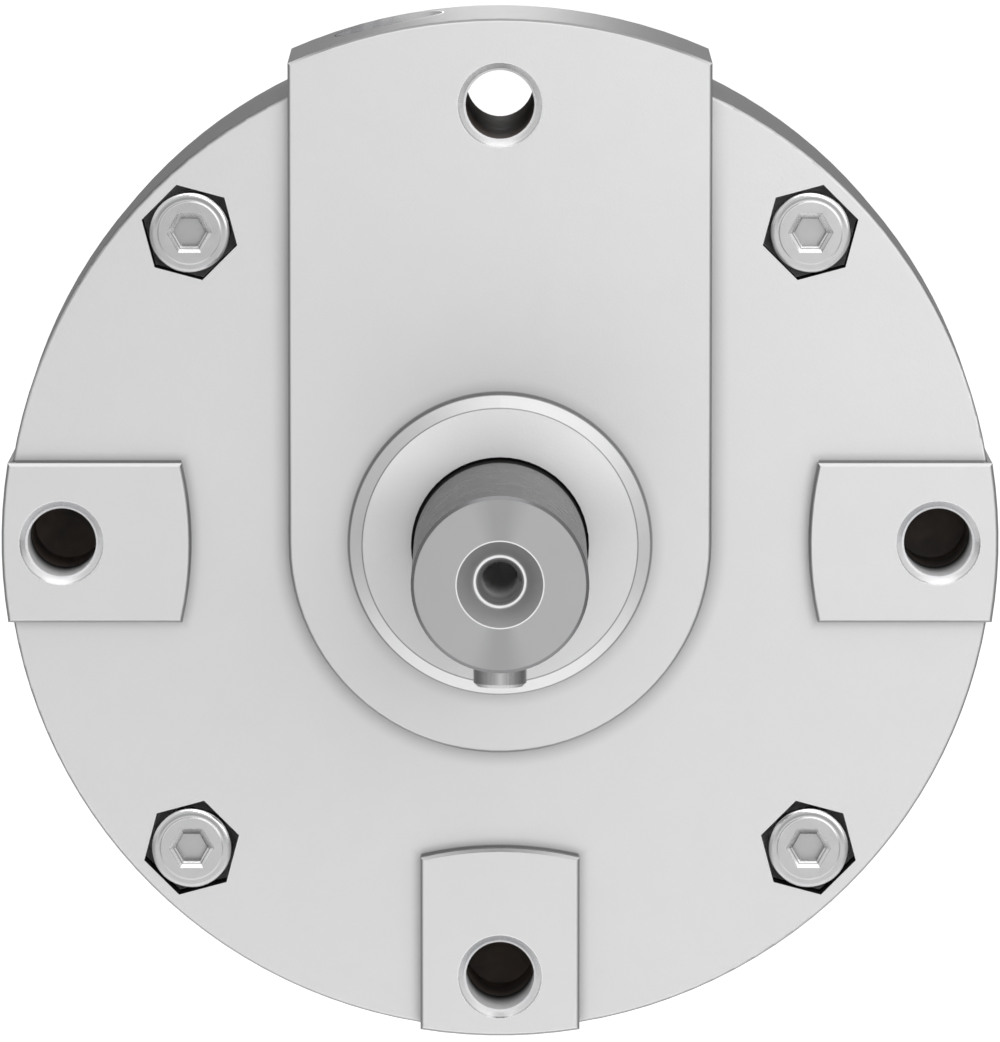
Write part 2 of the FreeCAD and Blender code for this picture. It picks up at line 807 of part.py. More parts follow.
def vane_seal():
    """Rubber frame in the vane's groove; its lips reach the chamber walls."""
    body = new_body("vane_seal")
    lip = ROTOR_START - cell("chamber_wall") - cell("vane_seal_gap")
    inner = cell("vane_margin") + cell("vane_groove_depth")
    start = cell("vane_groove_start")
    deep = cell("vane_tip") - cell("vane_groove_depth")
    tip = cell("vane_seal_tip")
    frame = new_sketch(body, "YZ_Plane")
    outline(frame, [
        (-lip, -start), (inner, -start), (inner, -deep), (ROTOR_WIDTH - inner, -deep),
        (ROTOR_WIDTH - inner, -start), (ROTOR_WIDTH + lip, -start),
        (ROTOR_WIDTH + lip, -tip), (-lip, -tip)])
    pushed(body, frame, cell("vane_groove_half") * 2, "Pad", middle=True)
    place(body, back=ROTOR_START)
    return body


def rotor_drive_pins():
    """Two cross pins that lock the hub to the shaft."""
    members = []
    half = cell("drive_pin_half")
    for number, level in enumerate(drive_pin_levels(), start=1):
        pin = doc.addObject("Part::Cylinder", f"drive_pin_{number}")
        bind(pin, "Radius", cell("drive_pin_radius"))
        bind(pin, "Height", half * 2)
        pin.Placement.Rotation = FreeCAD.Rotation(FreeCAD.Vector(0, 1, 0), 90)
        bind(pin, "Placement.Base.x", -half)
        bind(pin, "Placement.Base.y", level)
        members.append(pin)
    return group("rotor_drive_pins", members)


# ---------------------------------------------------------------- bearings and seals

def end_place(body, end, start):
    """Puts an end piece at the front, or turned round at the rear."""
    if end == "front":
        place(body, back=start)
    else:
        place(body, back=DEPTH - start, turn=180)


def race_mouth(level):
    """Half the width of the ball race where it opens at this radius."""
    rise = cell("ball_pitch") - level
    return cell("race_radius").leg(rise)


def bearing(end):
    """A deep-groove ball bearing as its five real pieces but the shields."""
    width = cell("bearing_width")
    middle = width / 2
    race = cell("race_radius")
    pieces = []

    inner = new_body(f"{end}_bearing_inner_ring")
    land = cell("race_inner")
    mouth = race_mouth(land)
    turned(inner, [
        (0, SHAFT), (width, SHAFT), (width, land), (middle + mouth, land, race, -1),
        (middle - mouth, land), (0, land)])
    pieces.append(inner)

    outer = new_body(f"{end}_bearing_outer_ring")
    land = cell("race_outer")
    mouth = race_mouth(land)
    rim = cell("bearing_radius")
    turned(outer, [
        (0, rim), (0, land), (middle - mouth, land, race, -1), (middle + mouth, land),
        (width, land), (width, rim)])
    pieces.append(outer)

    cage = new_body(f"{end}_bearing_cage")
    cage_width = cell("cage_width")
    turned(cage, [
        (0, cell("cage_inner")), (cage_width, cell("cage_inner")),
        (cage_width, cell("cage_outer")), (0, cell("cage_outer"))])
    pocket = new_sketch(cage, "XY_Plane")
    round_outline(pocket, 0, cage_width / 2, cell("cage_pocket"))
    count = int(DRIVING["ball_count"])
    round_the_axis(cage, pushed(cage, pocket, cell("cage_outer") + CLEAR), count, 360)

    for piece in pieces:
        end_place(piece, end, BEARING_START)
    end_place(cage, end, BEARING_START + (width - cage_width) / 2)
    return pieces + [cage, bearing_balls(end)]


def bearing_balls(end):
    members = []
    count = int(DRIVING["ball_count"])
    start = BEARING_START + cell("bearing_width") / 2
    level = start if end == "front" else DEPTH - start
    for number in range(count):
        angle = 2 * math.pi * number / count
        ball = doc.addObject("Part::Sphere", f"{end}_ball_{number + 1}")
        bind(ball, "Radius", cell("ball_radius"))
        bind(ball, "Placement.Base.x", cell("ball_pitch") * round(math.sin(angle), 9))
        bind(ball, "Placement.Base.y", level)
        bind(ball, "Placement.Base.z", cell("ball_pitch") * round(-math.cos(angle), 9))
        members.append(ball)
    return group(f"{end}_bearing_balls", members)


def wear_sleeve(end):
    """Hardened distance sleeve under the shaft seal's lip."""
    body = new_body(f"{end}_wear_sleeve")
    length = ROTOR_START - BEARING_END
    turned(body, [
        (0, SHAFT), (length, SHAFT), (length, cell("sleeve_radius")), (0, cell("sleeve_radius"))])
    end_place(body, end, BEARING_END)
    return body


def shaft_seal(end):
    """Lip seal between the bearing and the chamber, with its L-shaped section."""
    body = new_body(f"{end}_shaft_seal")
    length = cell("chamber_wall") - BEARING_END
    lip = cell("sleeve_radius") + cell("seal_gap")
    rim = cell("bearing_radius")
    inside = rim - cell("seal_wall")
    flange = length - cell("seal_flange")
    turned(body, [
        (0, rim), (0, inside), (flange, inside), (flange, lip + cell("seal_lip_rise")),
        (length - cell("seal_lip_reach"), lip), (length, lip), (length, rim)])
    end_place(body, end, BEARING_END)
    return body


# ---------------------------------------------------------------- build and export

nodes = casing()
nodes += [housing_seal(), housing_screws(), housing_nuts(), top_mount_sleeve(), mount_bushes()]
nodes += [stator(), stator_seal(), stator_pins()]
nodes += [stop_cushion("stop_cushion_left", -1), stop_cushion("stop_cushion_right", 1)]
nodes += [output_shaft(), shaft_key(), vane_rotor(), vane_seal(), rotor_drive_pins()]
for bearing_end in ("front", "rear"):
    nodes += bearing(bearing_end)
    nodes += [wear_sleeve(bearing_end), shaft_seal(bearing_end)]
doc.recompute()

for item in doc.Objects:
    if "Invalid" in item.State or "Error" in item.State:
        raise RuntimeError(f"{item.Label} did not recompute: {item.State}")
for node in nodes:
    if node.Shape.isNull() or not node.Shape.isValid():
        raise RuntimeError(f"{node.Label} has no valid shape")

os.makedirs("parts", exist_ok=True)
for node in nodes:
    node.Shape.exportStep(f"parts/{node.Label}.step")
    box = node.Shape.BoundBox
    print(f"{node.Label}: {len(node.Shape.Solids)} solids, {node.Shape.Volume:.1f} mm3, "
          f"x {box.XMin:.2f}..{box.XMax:.2f} y {box.YMin:.2f}..{box.YMax:.2f} "
          f"z {box.ZMin:.2f}..{box.ZMax:.2f}")
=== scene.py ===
import math

import bmesh
import bpy
from mathutils import Matrix, Vector


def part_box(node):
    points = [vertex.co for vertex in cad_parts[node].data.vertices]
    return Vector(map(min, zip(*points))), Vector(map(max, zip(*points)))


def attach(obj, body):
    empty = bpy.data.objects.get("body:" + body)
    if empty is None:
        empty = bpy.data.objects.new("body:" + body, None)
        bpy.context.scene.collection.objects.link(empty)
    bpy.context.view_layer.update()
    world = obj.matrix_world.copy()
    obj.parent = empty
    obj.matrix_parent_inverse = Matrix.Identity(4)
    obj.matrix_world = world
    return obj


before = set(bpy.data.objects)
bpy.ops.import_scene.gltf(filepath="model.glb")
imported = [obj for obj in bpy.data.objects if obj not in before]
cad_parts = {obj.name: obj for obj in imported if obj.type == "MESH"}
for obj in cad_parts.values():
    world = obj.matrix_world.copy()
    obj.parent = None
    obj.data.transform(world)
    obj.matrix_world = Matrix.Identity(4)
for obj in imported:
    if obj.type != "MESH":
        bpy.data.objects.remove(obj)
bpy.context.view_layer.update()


# Camera. It looks slightly down on the shaft end with a long lens, close to a
# drawing's front view, aimed a little above the shaft axis.
CAMERA_RISE = math.radians(6.2)
CAMERA_DISTANCE = 1.087
CAMERA_AIM = 0.0026
LENS = 323.0

camera = bpy.data.objects.new("camera", bpy.data.cameras.new("camera"))
bpy.context.scene.collection.objects.link(camera)
bpy.context.scene.camera = camera
camera.data.lens = LENS
camera.data.clip_start = 0.05
camera.data.clip_end = 50
towards = Vector((0, -math.cos(CAMERA_RISE), math.sin(CAMERA_RISE)))
camera.location = Vector((0, 0, CAMERA_AIM)) + towards * CAMERA_DISTANCE
camera.rotation_euler = (-towards).to_track_quat("-Z", "Y").to_euler()


# Studio. A pale floor well below the part, which hangs on its mounting screws.
# The room is white to the camera. In the metal it is bright overhead, plain in
# front and dim behind, as in a tent that is open at the back.
FLOOR_DROP = 0.16
FLOOR_SIZE = 12.0
FLOOR_GLOW = 0.72
FLOOR_GLOW_AWAY = 0.12
ROOM_FRONT = 0.6
ROOM_TOP = 0.8
ROOM_BEHIND = 0.05
GLOW_FADE_BACK = (0.0, 0.5)
GLOW_FADE_SIDES = (0.1, 0.5)
ROOM_TOP_EDGE = (0.70, 0.90)
ROOM_BACK_EDGE = (0.10, 0.40)


class Wire:
    """One shader socket. Arithmetic on it adds Math nodes to its graph."""

    def __init__(self, graph, socket):
        self.graph = graph
        self.socket = socket

    def math(self, operation, *others):
        return self.graph.node("ShaderNodeMath", {"operation": operation}, [self, *others])

    def __add__(self, other):
        return self.math("ADD", other)

    def __sub__(self, other):
        return self.math("SUBTRACT", other)

    def __mul__(self, other):
        return self.math("MULTIPLY", other)

    def __truediv__(self, other):
        return self.math("DIVIDE", other)

    def __rsub__(self, other):
        return self.graph.node("ShaderNodeMath", {"operation": "SUBTRACT"}, [other, self])

    def __pow__(self, other):
        return self.math("POWER", other)

    def __abs__(self):
        return self.math("ABSOLUTE")

    __radd__ = __add__
    __rmul__ = __mul__


class Graph:
    """A node tree, with one way to add any node and set or link its sockets."""

    def __init__(self, tree):
        self.nodes = tree.nodes
        self.links = tree.links

    def put(self, socket, value):
        if isinstance(value, Wire):
            self.links.new(value.socket, socket)
        elif socket.type == "RGBA":
            socket.default_value = (*value, 1.0)
        else:
            socket.default_value = value

    def node(self, kind, settings=None, values=(), output=0):
        node = self.nodes.new(kind)
        for name, value in (settings or {}).items():
            setattr(node, name, value)
        pairs = values.items() if isinstance(values, dict) else enumerate(values)
        for key, value in pairs:
            self.put(node.inputs[key], value)
        return Wire(self, node.outputs[output])

    def fade(self, value, start, end):
        """0 before the start, 1 past the end, and a soft step between."""
        return self.node("ShaderNodeMapRange", {"interpolation_type": "SMOOTHSTEP"},
                         {"Value": value, "From Min": start, "From Max": end})

    def split(self, vector):
        return [self.node("ShaderNodeSeparateXYZ", values=[vector], output=axis)
                for axis in "XYZ"]


class Finish(Graph):
    """A material with its Principled shader."""

    def __init__(self, name, **values):
        self.material = bpy.data.materials.new(name)
        self.material.use_nodes = True
        super().__init__(self.material.node_tree)
        self.shader = self.nodes["Principled BSDF"]
        self.set(**values)

    def set(self, **values):
        for name, value in values.items():
            self.put(self.shader.inputs[name.replace("_", " ").title()], value)

    def place(self):
        return self.node("ShaderNodeTexCoord", output="Object")

    def tint(self, share, first, second):
        """A colour between two, by a share from 0 to 1."""
        return self.node("ShaderNodeMix", {"data_type": "RGBA"},
                         {0: share, 6: first, 7: second}, output=2)


def studio_light(direction, reach, wide, tall, power):
    """A soft rectangular lamp, aimed at the part from a direction."""
    lamp = bpy.data.objects.new("soft_lamp", bpy.data.lights.new("soft_lamp", "AREA"))
    bpy.context.scene.collection.objects.link(lamp)
    lamp.data.shape = "RECTANGLE"
    lamp.data.size = wide
    lamp.data.size_y = tall
    lamp.data.energy = power
    lamp.visible_camera = False
    lamp.location = Vector(direction).normalized() * reach
    lamp.rotation_euler = (-Vector(direction)).to_track_quat("-Z", "Y").to_euler()


def light_room():
    """The world: white to the camera, and a lit tent to everything else."""
    room = bpy.data.worlds.new("room")
    bpy.context.scene.world = room
    room.use_nodes = True
    graph = Graph(room.node_tree)
    _, back, up = graph.split(graph.node("ShaderNodeTexCoord", output="Generated"))
    top = graph.fade(up, *ROOM_TOP_EDGE)
    behind = graph.fade(back, *ROOM_BACK_EDGE) * (1 - top)
    seen = graph.node("ShaderNodeLightPath", output="Is Camera Ray")
    glow = ROOM_FRONT + top * (ROOM_TOP - ROOM_FRONT) + behind * (ROOM_BEHIND - ROOM_FRONT)
    background = graph.nodes["Background"]
    graph.put(background.inputs["Strength"], seen + glow * (1 - seen))
    graph.put(background.inputs["Color"], (1, 1, 1))


def lay_floor():
    """A pale floor. It glows white for the camera and, near the part, in the metal."""
    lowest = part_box("front_housing")[0].z
    sheet = bmesh.new()
    bmesh.ops.create_grid(sheet, size=FLOOR_SIZE / 2,
                          matrix=Matrix.Translation((0, 0, lowest - FLOOR_DROP)))
    mesh = bpy.data.meshes.new("floor")
    sheet.to_mesh(mesh)
    sheet.free()
    floor = bpy.data.objects.new("floor", mesh)
    bpy.context.scene.collection.objects.link(floor)
    pale = Finish("pale_floor", base_color=(0.8, 0.8, 0.8), roughness=0.9)
    seen = pale.node("ShaderNodeLightPath", output="Is Camera Ray")
    mirrored = pale.node("ShaderNodeLightPath", output="Is Glossy Ray")
    across, back, _ = pale.split(pale.place())
    away = pale.fade(back, *GLOW_FADE_BACK).math("MAXIMUM", pale.fade(abs(across), *GLOW_FADE_SIDES))
    in_metal = FLOOR_GLOW + away * (FLOOR_GLOW_AWAY - FLOOR_GLOW)
    pale.set(emission_color=(1, 1, 1), emission_strength=seen * FLOOR_GLOW + mirrored * in_metal)
    mesh.materials.append(pale.material)


light_room()
lay_floor()

# One lamp in front to the right, a wide one overhead, and a narrow one low behind.
studio_light(direction=(0.55, -1.0, 0.58), reach=0.42, wide=0.4, tall=0.4, power=0.56)
studio_light(direction=(0.0, -0.2, 1.0), reach=0.9, wide=0.7, tall=0.6, power=1.0)
studio_light(direction=(0.0, 0.92, 0.30), reach=1.0, wide=0.10, tall=0.5, power=0.35)
bpy.context.scene.view_settings.view_transform = "Standard"


# Half shells. Two die-cast aluminium halves, blasted to a fine matt grain, with
# the bevels of the fixing holes and the port seats turned bright. Painted shade
# darkens the pads' edges, the feet of the steps, the screw pockets and bores, and
# painted light and shade lie on the hole bevels and the hub's face.
HOLE_CIRCLE = 0.051
HOLE_BEVEL = 0.00492
HOLE_BEVEL_MIDDLE = 0.00466
HOLE_WALL = 0.0042
HOLE_SHADE = (0.0038, 0.0107)
SCREW_SQUARE = 0.03606
POCKET_RADIUS = 0.0060
POCKET_FLOOR = 0.0062
PARTING = 0.0217
PORT_OFFSET = 0.013
PORT_FROM_PARTING = 0.0065
PORT_SEAT = 0.0064
PORT_DEPTH = (0.053, 0.0535)
DISC_STEP = 0.0021
DISC_RADIUS = 0.0575
TONGUE_HALF = 0.0246
TONGUE_TOP = (0.0555, 0.0575)
PAD_HALF = 0.0093
PAD_ROOT = 0.0359
PAD_ARC = 0.0399
HUB_RISE = 0.0027
HUB_RADIUS = 0.0175
HUB_FACE = 0.0160
HUB_FOOT = 0.0180
HUB_BORE = 0.0104
FOOT_INSET = 0.0003
SHADE_START = -0.0004
TONGUE_SHADE = 0.0026
PAD_SHADE = 0.0017
HUB_SHADE = 0.0020
FINE_GRAIN = 3600.0
WIDE_CLOUD = 160.0
LATHE_DEPTH = 0.000002
CAST_DARK = (0.62, 0.62, 0.62)
CAST_LIGHT = (0.86, 0.86, 0.86)
CAST_PAINTED_SHADE = (0.16, 0.16, 0.16)
TURNED_ALUMINIUM = (0.86, 0.86, 0.87)
TURNED_PAINTED_SHADE = (0.57, 0.57, 0.58)
TURNED_PAINTED_HIGHLIGHT = (0.99, 0.99, 0.99)
HUB_PAINTED_LIGHT = (0.98, 0.98, 0.98)
BORE_ALUMINIUM = (0.97, 0.97, 0.98)
PAINTED_SHADE_BLACK = (0.022, 0.021, 0.021)
POCKET_LIGHT = (0.70, 0.70, 0.70)


def noise(finish, scale, detail=2.0):
    """A cloud from 0 to 1, finer with a larger scale."""
    return finish.node("ShaderNodeTexNoise", {},
                       {"Vector": finish.place(), "Scale": scale, "Detail": detail})


def length(along, up):
    """The distance from a line, by the two distances across it."""
    return (along * along + up * up) ** 0.5


def bump(finish, height, depth, strength=1.0, over=None):
    """A relief of a depth in metres, on the plain surface or over another relief."""
    values = {"Strength": strength, "Distance": depth, "Height": height}
    if over:
        values["Normal"] = over
    return finish.node("ShaderNodeBump", {}, values)


def rings(radius, pitch):
    """Lathe marks: a wave from 0 to 1 across a radius."""
    return (radius * (2 * math.pi / pitch)).math("SINE") * 0.5 + 0.5


def line(finish, value, middle, width):
    """1 at a value's middle, fading out on both sides of it."""
    return 1 - finish.fade(abs(value - middle), width * 0.3, width)


def within(finish, value, limit, blur=0.0001):
    """1 up to a limit, and 0 a little past it."""
    return 1 - finish.fade(value, limit, limit + blur)


def most(first, *others):
    """The greatest of several masks at each point."""
    for other in others:
        first = first.math("MAXIMUM", other)
    return first


def cast_aluminium():
    cast = Finish("cast_aluminium")
    across, along, height = cast.split(cast.place())
    facing_up = cast.split(cast.node("ShaderNodeTexCoord", output="Normal"))[2]
    beside = abs(across)
    above = abs(height)
    inward = PARTING - abs(along - PARTING)
    from_axis = length(across, height)
    from_hole = length(beside - HOLE_CIRCLE, height).math(
        "MINIMUM", length(across, above - HOLE_CIRCLE))
    from_screw = length(beside - SCREW_SQUARE, above - SCREW_SQUARE)
    from_port = length(beside - PORT_OFFSET,
                       (along - PARTING) * across.math("SIGN") - PORT_FROM_PARTING)

    # Turned bright: the bevels of the fixing holes and the seats of the ports.
    hole = within(cast, from_hole, HOLE_BEVEL)
    port = within(cast, from_port, PORT_SEAT) * cast.fade(height, *PORT_DEPTH)
    turned = most(hole, port)
    # Painted light and shade on the holes' bevels: the upper part in painted shade, the outer lower
    # part partly shaded, and a painted highlight along the lower inner side.
    shaded_upper_bevel = hole * within(cast, facing_up, -0.6, 0.8)
    lower_bevel = hole * cast.fade(facing_up, -0.25, 0.3)
    lit_inner_bevel = lower_bevel * within(cast, from_hole, HOLE_BEVEL_MIDDLE, 0.00014)

    # Painted shade: the screw pockets, the holes' depth and the shaft's bore are darkened where
    # shade falls in them.
    pocket = within(cast, from_screw, POCKET_RADIUS) * cast.fade(
        inward, DISC_STEP + 0.00002, DISC_STEP + 0.00025)
    pocket_floor = pocket * cast.fade(inward, POCKET_FLOOR, POCKET_FLOOR + 0.0002)
    bore_wall = within(cast, from_hole, HOLE_WALL)
    bore = bore_wall * cast.fade(inward, *HOLE_SHADE)
    hub_bore = within(cast, from_axis, HUB_BORE) * cast.fade(
        inward, 0.00001 - HUB_RISE, 0.0001 - HUB_RISE)
    dark = most(pocket, bore, hub_bore)

    # Painted shade in thin dark lines: the bevels that don't look up, the hub's two circles, the
    # rim.
    plain = (1 - turned) * cast.fade(from_axis, HUB_FOOT, HUB_FOOT + 0.0002)
    bevel = (cast.fade(inward, 0.00008, 0.00014) * within(cast, inward, 0.0004) * plain
             * most(1 - cast.fade(facing_up, 0.2, 0.6), cast.fade(height, *TONGUE_TOP)))
    circles = within(cast, inward, -0.0012, 0.0006) * most(
        line(cast, from_axis, HUB_FACE, 0.00012), line(cast, from_axis, HUB_RADIUS, 0.00014))
    rim = (line(cast, from_axis, DISC_RADIUS, 0.00035)
           * line(cast, inward, DISC_STEP + 0.0002, 0.0005)
           * (1 - cast.fade(facing_up, -0.1, 0.3) * 0.5))
    edge = most(bevel, circles, rim)

    # Painted shade at the foot of the steps: a narrow dark line with a soft shade
    # beside it, round the tongue, the pads and the hub.
    beside_tongue = length(across, height.math("MINIMUM", 0.0)) - TONGUE_HALF
    side_arc = above * above / (2 * PAD_ARC) + PAD_ROOT - beside
    low_arc = beside * beside / (2 * PAD_ARC) + PAD_ROOT + height
    beside_pad = most(above - PAD_HALF, side_arc).math(
        "MINIMUM", most(beside - PAD_HALF, low_arc))
    above_pad = most(above - PAD_HALF, side_arc + FOOT_INSET).math(
        "MINIMUM", most(beside - PAD_HALF + FOOT_INSET, low_arc))
    on_disc = line(cast, inward, DISC_STEP, 0.0003) * plain
    on_face = cast.fade(inward, -0.0017, -0.0016)
    wall = (cast.fade(inward, 0.00042, 0.0005) * within(cast, inward, 0.0019) * plain
            * within(cast, from_axis, DISC_RADIUS - 0.0005, 0.0002))
    foot = most(within(cast, above_pad, 0.00012, 0.00018) * on_disc,
                within(cast, from_axis, HUB_RADIUS + 0.00015, 0.0002) * on_face, wall)
    low = 1 - cast.fade(height, 0.030, 0.050) * 0.6
    shaded = most(within(cast, beside_tongue, SHADE_START, TONGUE_SHADE) * on_disc * low,
                  within(cast, beside_pad, SHADE_START, PAD_SHADE) * on_disc * 0.7,
                  within(cast, from_axis, HUB_RADIUS, HUB_SHADE) * on_face * 0.5)

    grain = noise(cast, FINE_GRAIN)
    cloud = noise(cast, WIDE_CLOUD, 3.0)
    # Random tone from grain and cloud, less the painted soft shade beside the steps.
    shade = (cloud - 0.5) * 0.10 + (grain - 0.5) * 0.16 + 0.5 - shaded * 0.45
    skin = cast.tint(shade, CAST_DARK, CAST_LIGHT)
    # Painted shade: the steps' shade and foot lines, then the thin dark edge lines.
    skin = cast.tint(most(shaded * 0.25, foot * 0.75), skin, CAST_PAINTED_SHADE)
    skin = cast.tint(edge * 0.7, skin, CAST_PAINTED_SHADE)
    # The bevels' painted shade and painted highlight.
    bright = cast.tint(most(shaded_upper_bevel, (lower_bevel - lit_inner_bevel) * 0.6),
                       TURNED_ALUMINIUM, TURNED_PAINTED_SHADE)
    bright = cast.tint(lit_inner_bevel, bright, TURNED_PAINTED_HIGHLIGHT)
    metal = cast.tint(bore_wall, cast.tint(turned, skin, bright), BORE_ALUMINIUM)
    # Painted light: the hub's face grows lighter towards its top.
    hub = within(cast, from_axis, HUB_FACE - 0.0001) * (1 - on_face)
    metal = cast.tint(hub * cast.fade(height, 0.002, 0.013) * 0.95, metal, HUB_PAINTED_LIGHT)
    # Painted shade in the pockets, holes and bore, a lighter grey on the pockets' floors.
    recess_shade = cast.tint(pocket_floor, PAINTED_SHADE_BLACK, POCKET_LIGHT)
    cast.set(base_color=cast.tint(dark, metal, recess_shade))
    cast.set(metallic=(1 - most(bore_wall, dark)) * 0.9)
    rough = ((grain - 0.5) * 0.2 + 0.46) * (1 - turned) + turned * 0.22 + lit_inner_bevel * 0.16
    cast.set(roughness=rough * (1 - dark) + dark * 0.9)
    grained = bump(cast, grain * (1 - turned), 0.00002, 0.5)
    marks = rings(from_hole, 0.00018) * hole
    cast.set(normal=bump(cast, marks, LATHE_DEPTH, 0.3, over=grained))
    return cast.material


def wear(material, *names):
    """Gives a material to CAD nodes, on every slot they have."""
    for name in names:
        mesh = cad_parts[name].data
        if not mesh.materials:
            mesh.materials.append(material)
        for index in range(len(mesh.materials)):
            mesh.materials[index] = material


wear(cast_aluminium(), "front_housing", "rear_housing")


# Casing screws and nuts. Zinc-plated low-head socket screws set in the hex
# pockets in front, and hex nuts in the same pockets behind. The plating is
# bright with a faint cloud, and the heads keep lathe marks.
ZINC_LIGHT = (0.60, 0.60, 0.605)
ZINC_DARK = (0.48, 0.48, 0.485)
ZINC_PAINTED_HIGHLIGHT = (0.97, 0.97, 0.97)
ZINC_SHADE = (0.05, 0.05, 0.05)
HEAD_RIM = 0.0042
HEAD_STEP = 0.00365
SOCKET_HALF = 0.0016
SOCKET_MOUTH = 0.00232


def zinc_steel():
    zinc = Finish("zinc_steel", metallic=1.0)
    across, along, height = zinc.split(zinc.place())
    beside = abs(across) - SCREW_SQUARE
    above = height - height.math("SIGN") * SCREW_SQUARE
    from_screw = length(beside, above)
    from_socket = most(abs(above), abs(above) * 0.5 + abs(beside) * math.sin(math.pi / 3))
    upper = zinc.fade(above / from_screw, 0.0, 0.6)
    lower = zinc.fade(above / from_screw, 0.1, -0.1)
    front = within(zinc, along, 0.0075, 0.0005)

    # Painted highlights: bright on the upper rim and fine step, on the lines round the lower socket
    # mouth, and on the upper chamfer.
    rim = zinc.fade(from_screw, HEAD_RIM, HEAD_RIM + 0.00012)
    step = line(zinc, from_screw, HEAD_STEP, 0.0002)
    mouth = line(zinc, from_socket, SOCKET_MOUTH - 0.00022, 0.0003)
    lip = line(zinc, from_socket, SOCKET_HALF + 0.00012, 0.00014)
    lines = most(mouth, lip)
    chamfer = within(zinc, from_socket, SOCKET_MOUTH - 0.00004, 0.00004) * zinc.fade(
        from_socket, SOCKET_HALF, SOCKET_HALF + 0.00004)
    painted_highlight = most(most(rim, step * 0.4) * upper, lines * lower,
                chamfer * (1 - lower) * 0.45) * front

    # Painted shade: darker in the socket, in the chamfer between the lower bright lines and just
    # inside the upper rim.
    shadow = within(zinc, from_socket, SOCKET_HALF) * front * 0.14
    ring = line(zinc, from_screw, HEAD_RIM - 0.0002, 0.0002) * upper * front * 0.35
    shaded_chamfer = chamfer * lower * (1 - lines) * front * 0.75
    cloud = noise(zinc, 500.0, 3.0)
    plating = zinc.tint(cloud - shadow - ring, ZINC_DARK, ZINC_LIGHT)
    plating = zinc.tint(most(shadow + ring, shaded_chamfer), plating, ZINC_SHADE)
    zinc.set(base_color=zinc.tint(painted_highlight, plating, ZINC_PAINTED_HIGHLIGHT))
    zinc.set(roughness=(cloud - 0.5) * 0.15 + 0.3 - painted_highlight * 0.12)
    raised = within(zinc, from_screw, HEAD_STEP - 0.0001, 0.0002) * front
    stepped = bump(zinc, raised, 0.00006)
    marks = rings(from_screw, 0.00022)
    zinc.set(normal=bump(zinc, marks, LATHE_DEPTH, 0.4, over=stepped))
    return zinc.material


wear(zinc_steel(), "housing_screws", "housing_nuts")


# Fixing sleeve and bushes. Turned steel with a black oxide skin, a little brown
# where it has been handled, set between the shells behind the fixing holes.
OXIDE_BLACK = (0.200, 0.176, 0.168)
OXIDE_BROWN = (0.330, 0.270, 0.230)
OXIDE_GRAZING = (0.40, 0.40, 0.40)


def black_steel():
    black = Finish("black_steel", metallic=0.1, specular_tint=OXIDE_GRAZING)
    cloud = noise(black, 220.0, 3.0)
    black.set(base_color=black.tint(black.fade(cloud, 0.35, 0.7), OXIDE_BLACK, OXIDE_BROWN))
    black.set(roughness=(cloud - 0.5) * 0.3 + 0.65)
    return black.material


wear(black_steel(), "top_mount_sleeve", "mount_bushes")


# Output shaft. Turned steel, ground outside, with lathe marks on both end faces
# and in the centre hole's cone. The key is bright drawn bar.
FACE_LIGHT = (0.47, 0.47, 0.475)
FACE_DARK = (0.36, 0.36, 0.365)
SIDE_LIGHT = (0.25, 0.25, 0.255)
SIDE_DARK = (0.19, 0.19, 0.195)
GRAZING_GREY = (0.58, 0.58, 0.58)
EDGE_PAINTED_HIGHLIGHT = (0.92, 0.92, 0.92)
CONE_GREY = (0.50, 0.50, 0.50)
BORE_MOUTH_SHADE = (0.20, 0.20, 0.20)
BORE_DEEP_LIGHT = (0.97, 0.97, 0.97)
CONE_MOUTH = 0.00485
CONE_THROAT = 0.00295
SHAFT_END = -0.0423
SHAFT_FACE = 0.00955
WEDGE_SIDES = (0.06, 0.42)
GAP_SHADE_START = (-0.0068, -0.0053)
GAP_SHADE_END = (0.0, 0.001)
KEY_LIGHT = (0.56, 0.56, 0.56)
KEY_DARK = (0.44, 0.44, 0.44)
KEY_FLANK_SHADE = (0.18, 0.18, 0.18)
KEY_ROUND_END = -0.0331
KEY_ROUNDING = (0.0008, 0.0029)


def streaks(finish, over, along, scale):
    """Fine tool marks. The direction whose measure is made small draws them out."""
    return finish.node("ShaderNodeTexNoise", {"noise_dimensions": "2D"}, {
        "Vector": finish.node("ShaderNodeCombineXYZ", {}, [over, along, 0.0]),
        "Scale": scale, "Detail": 2.0})


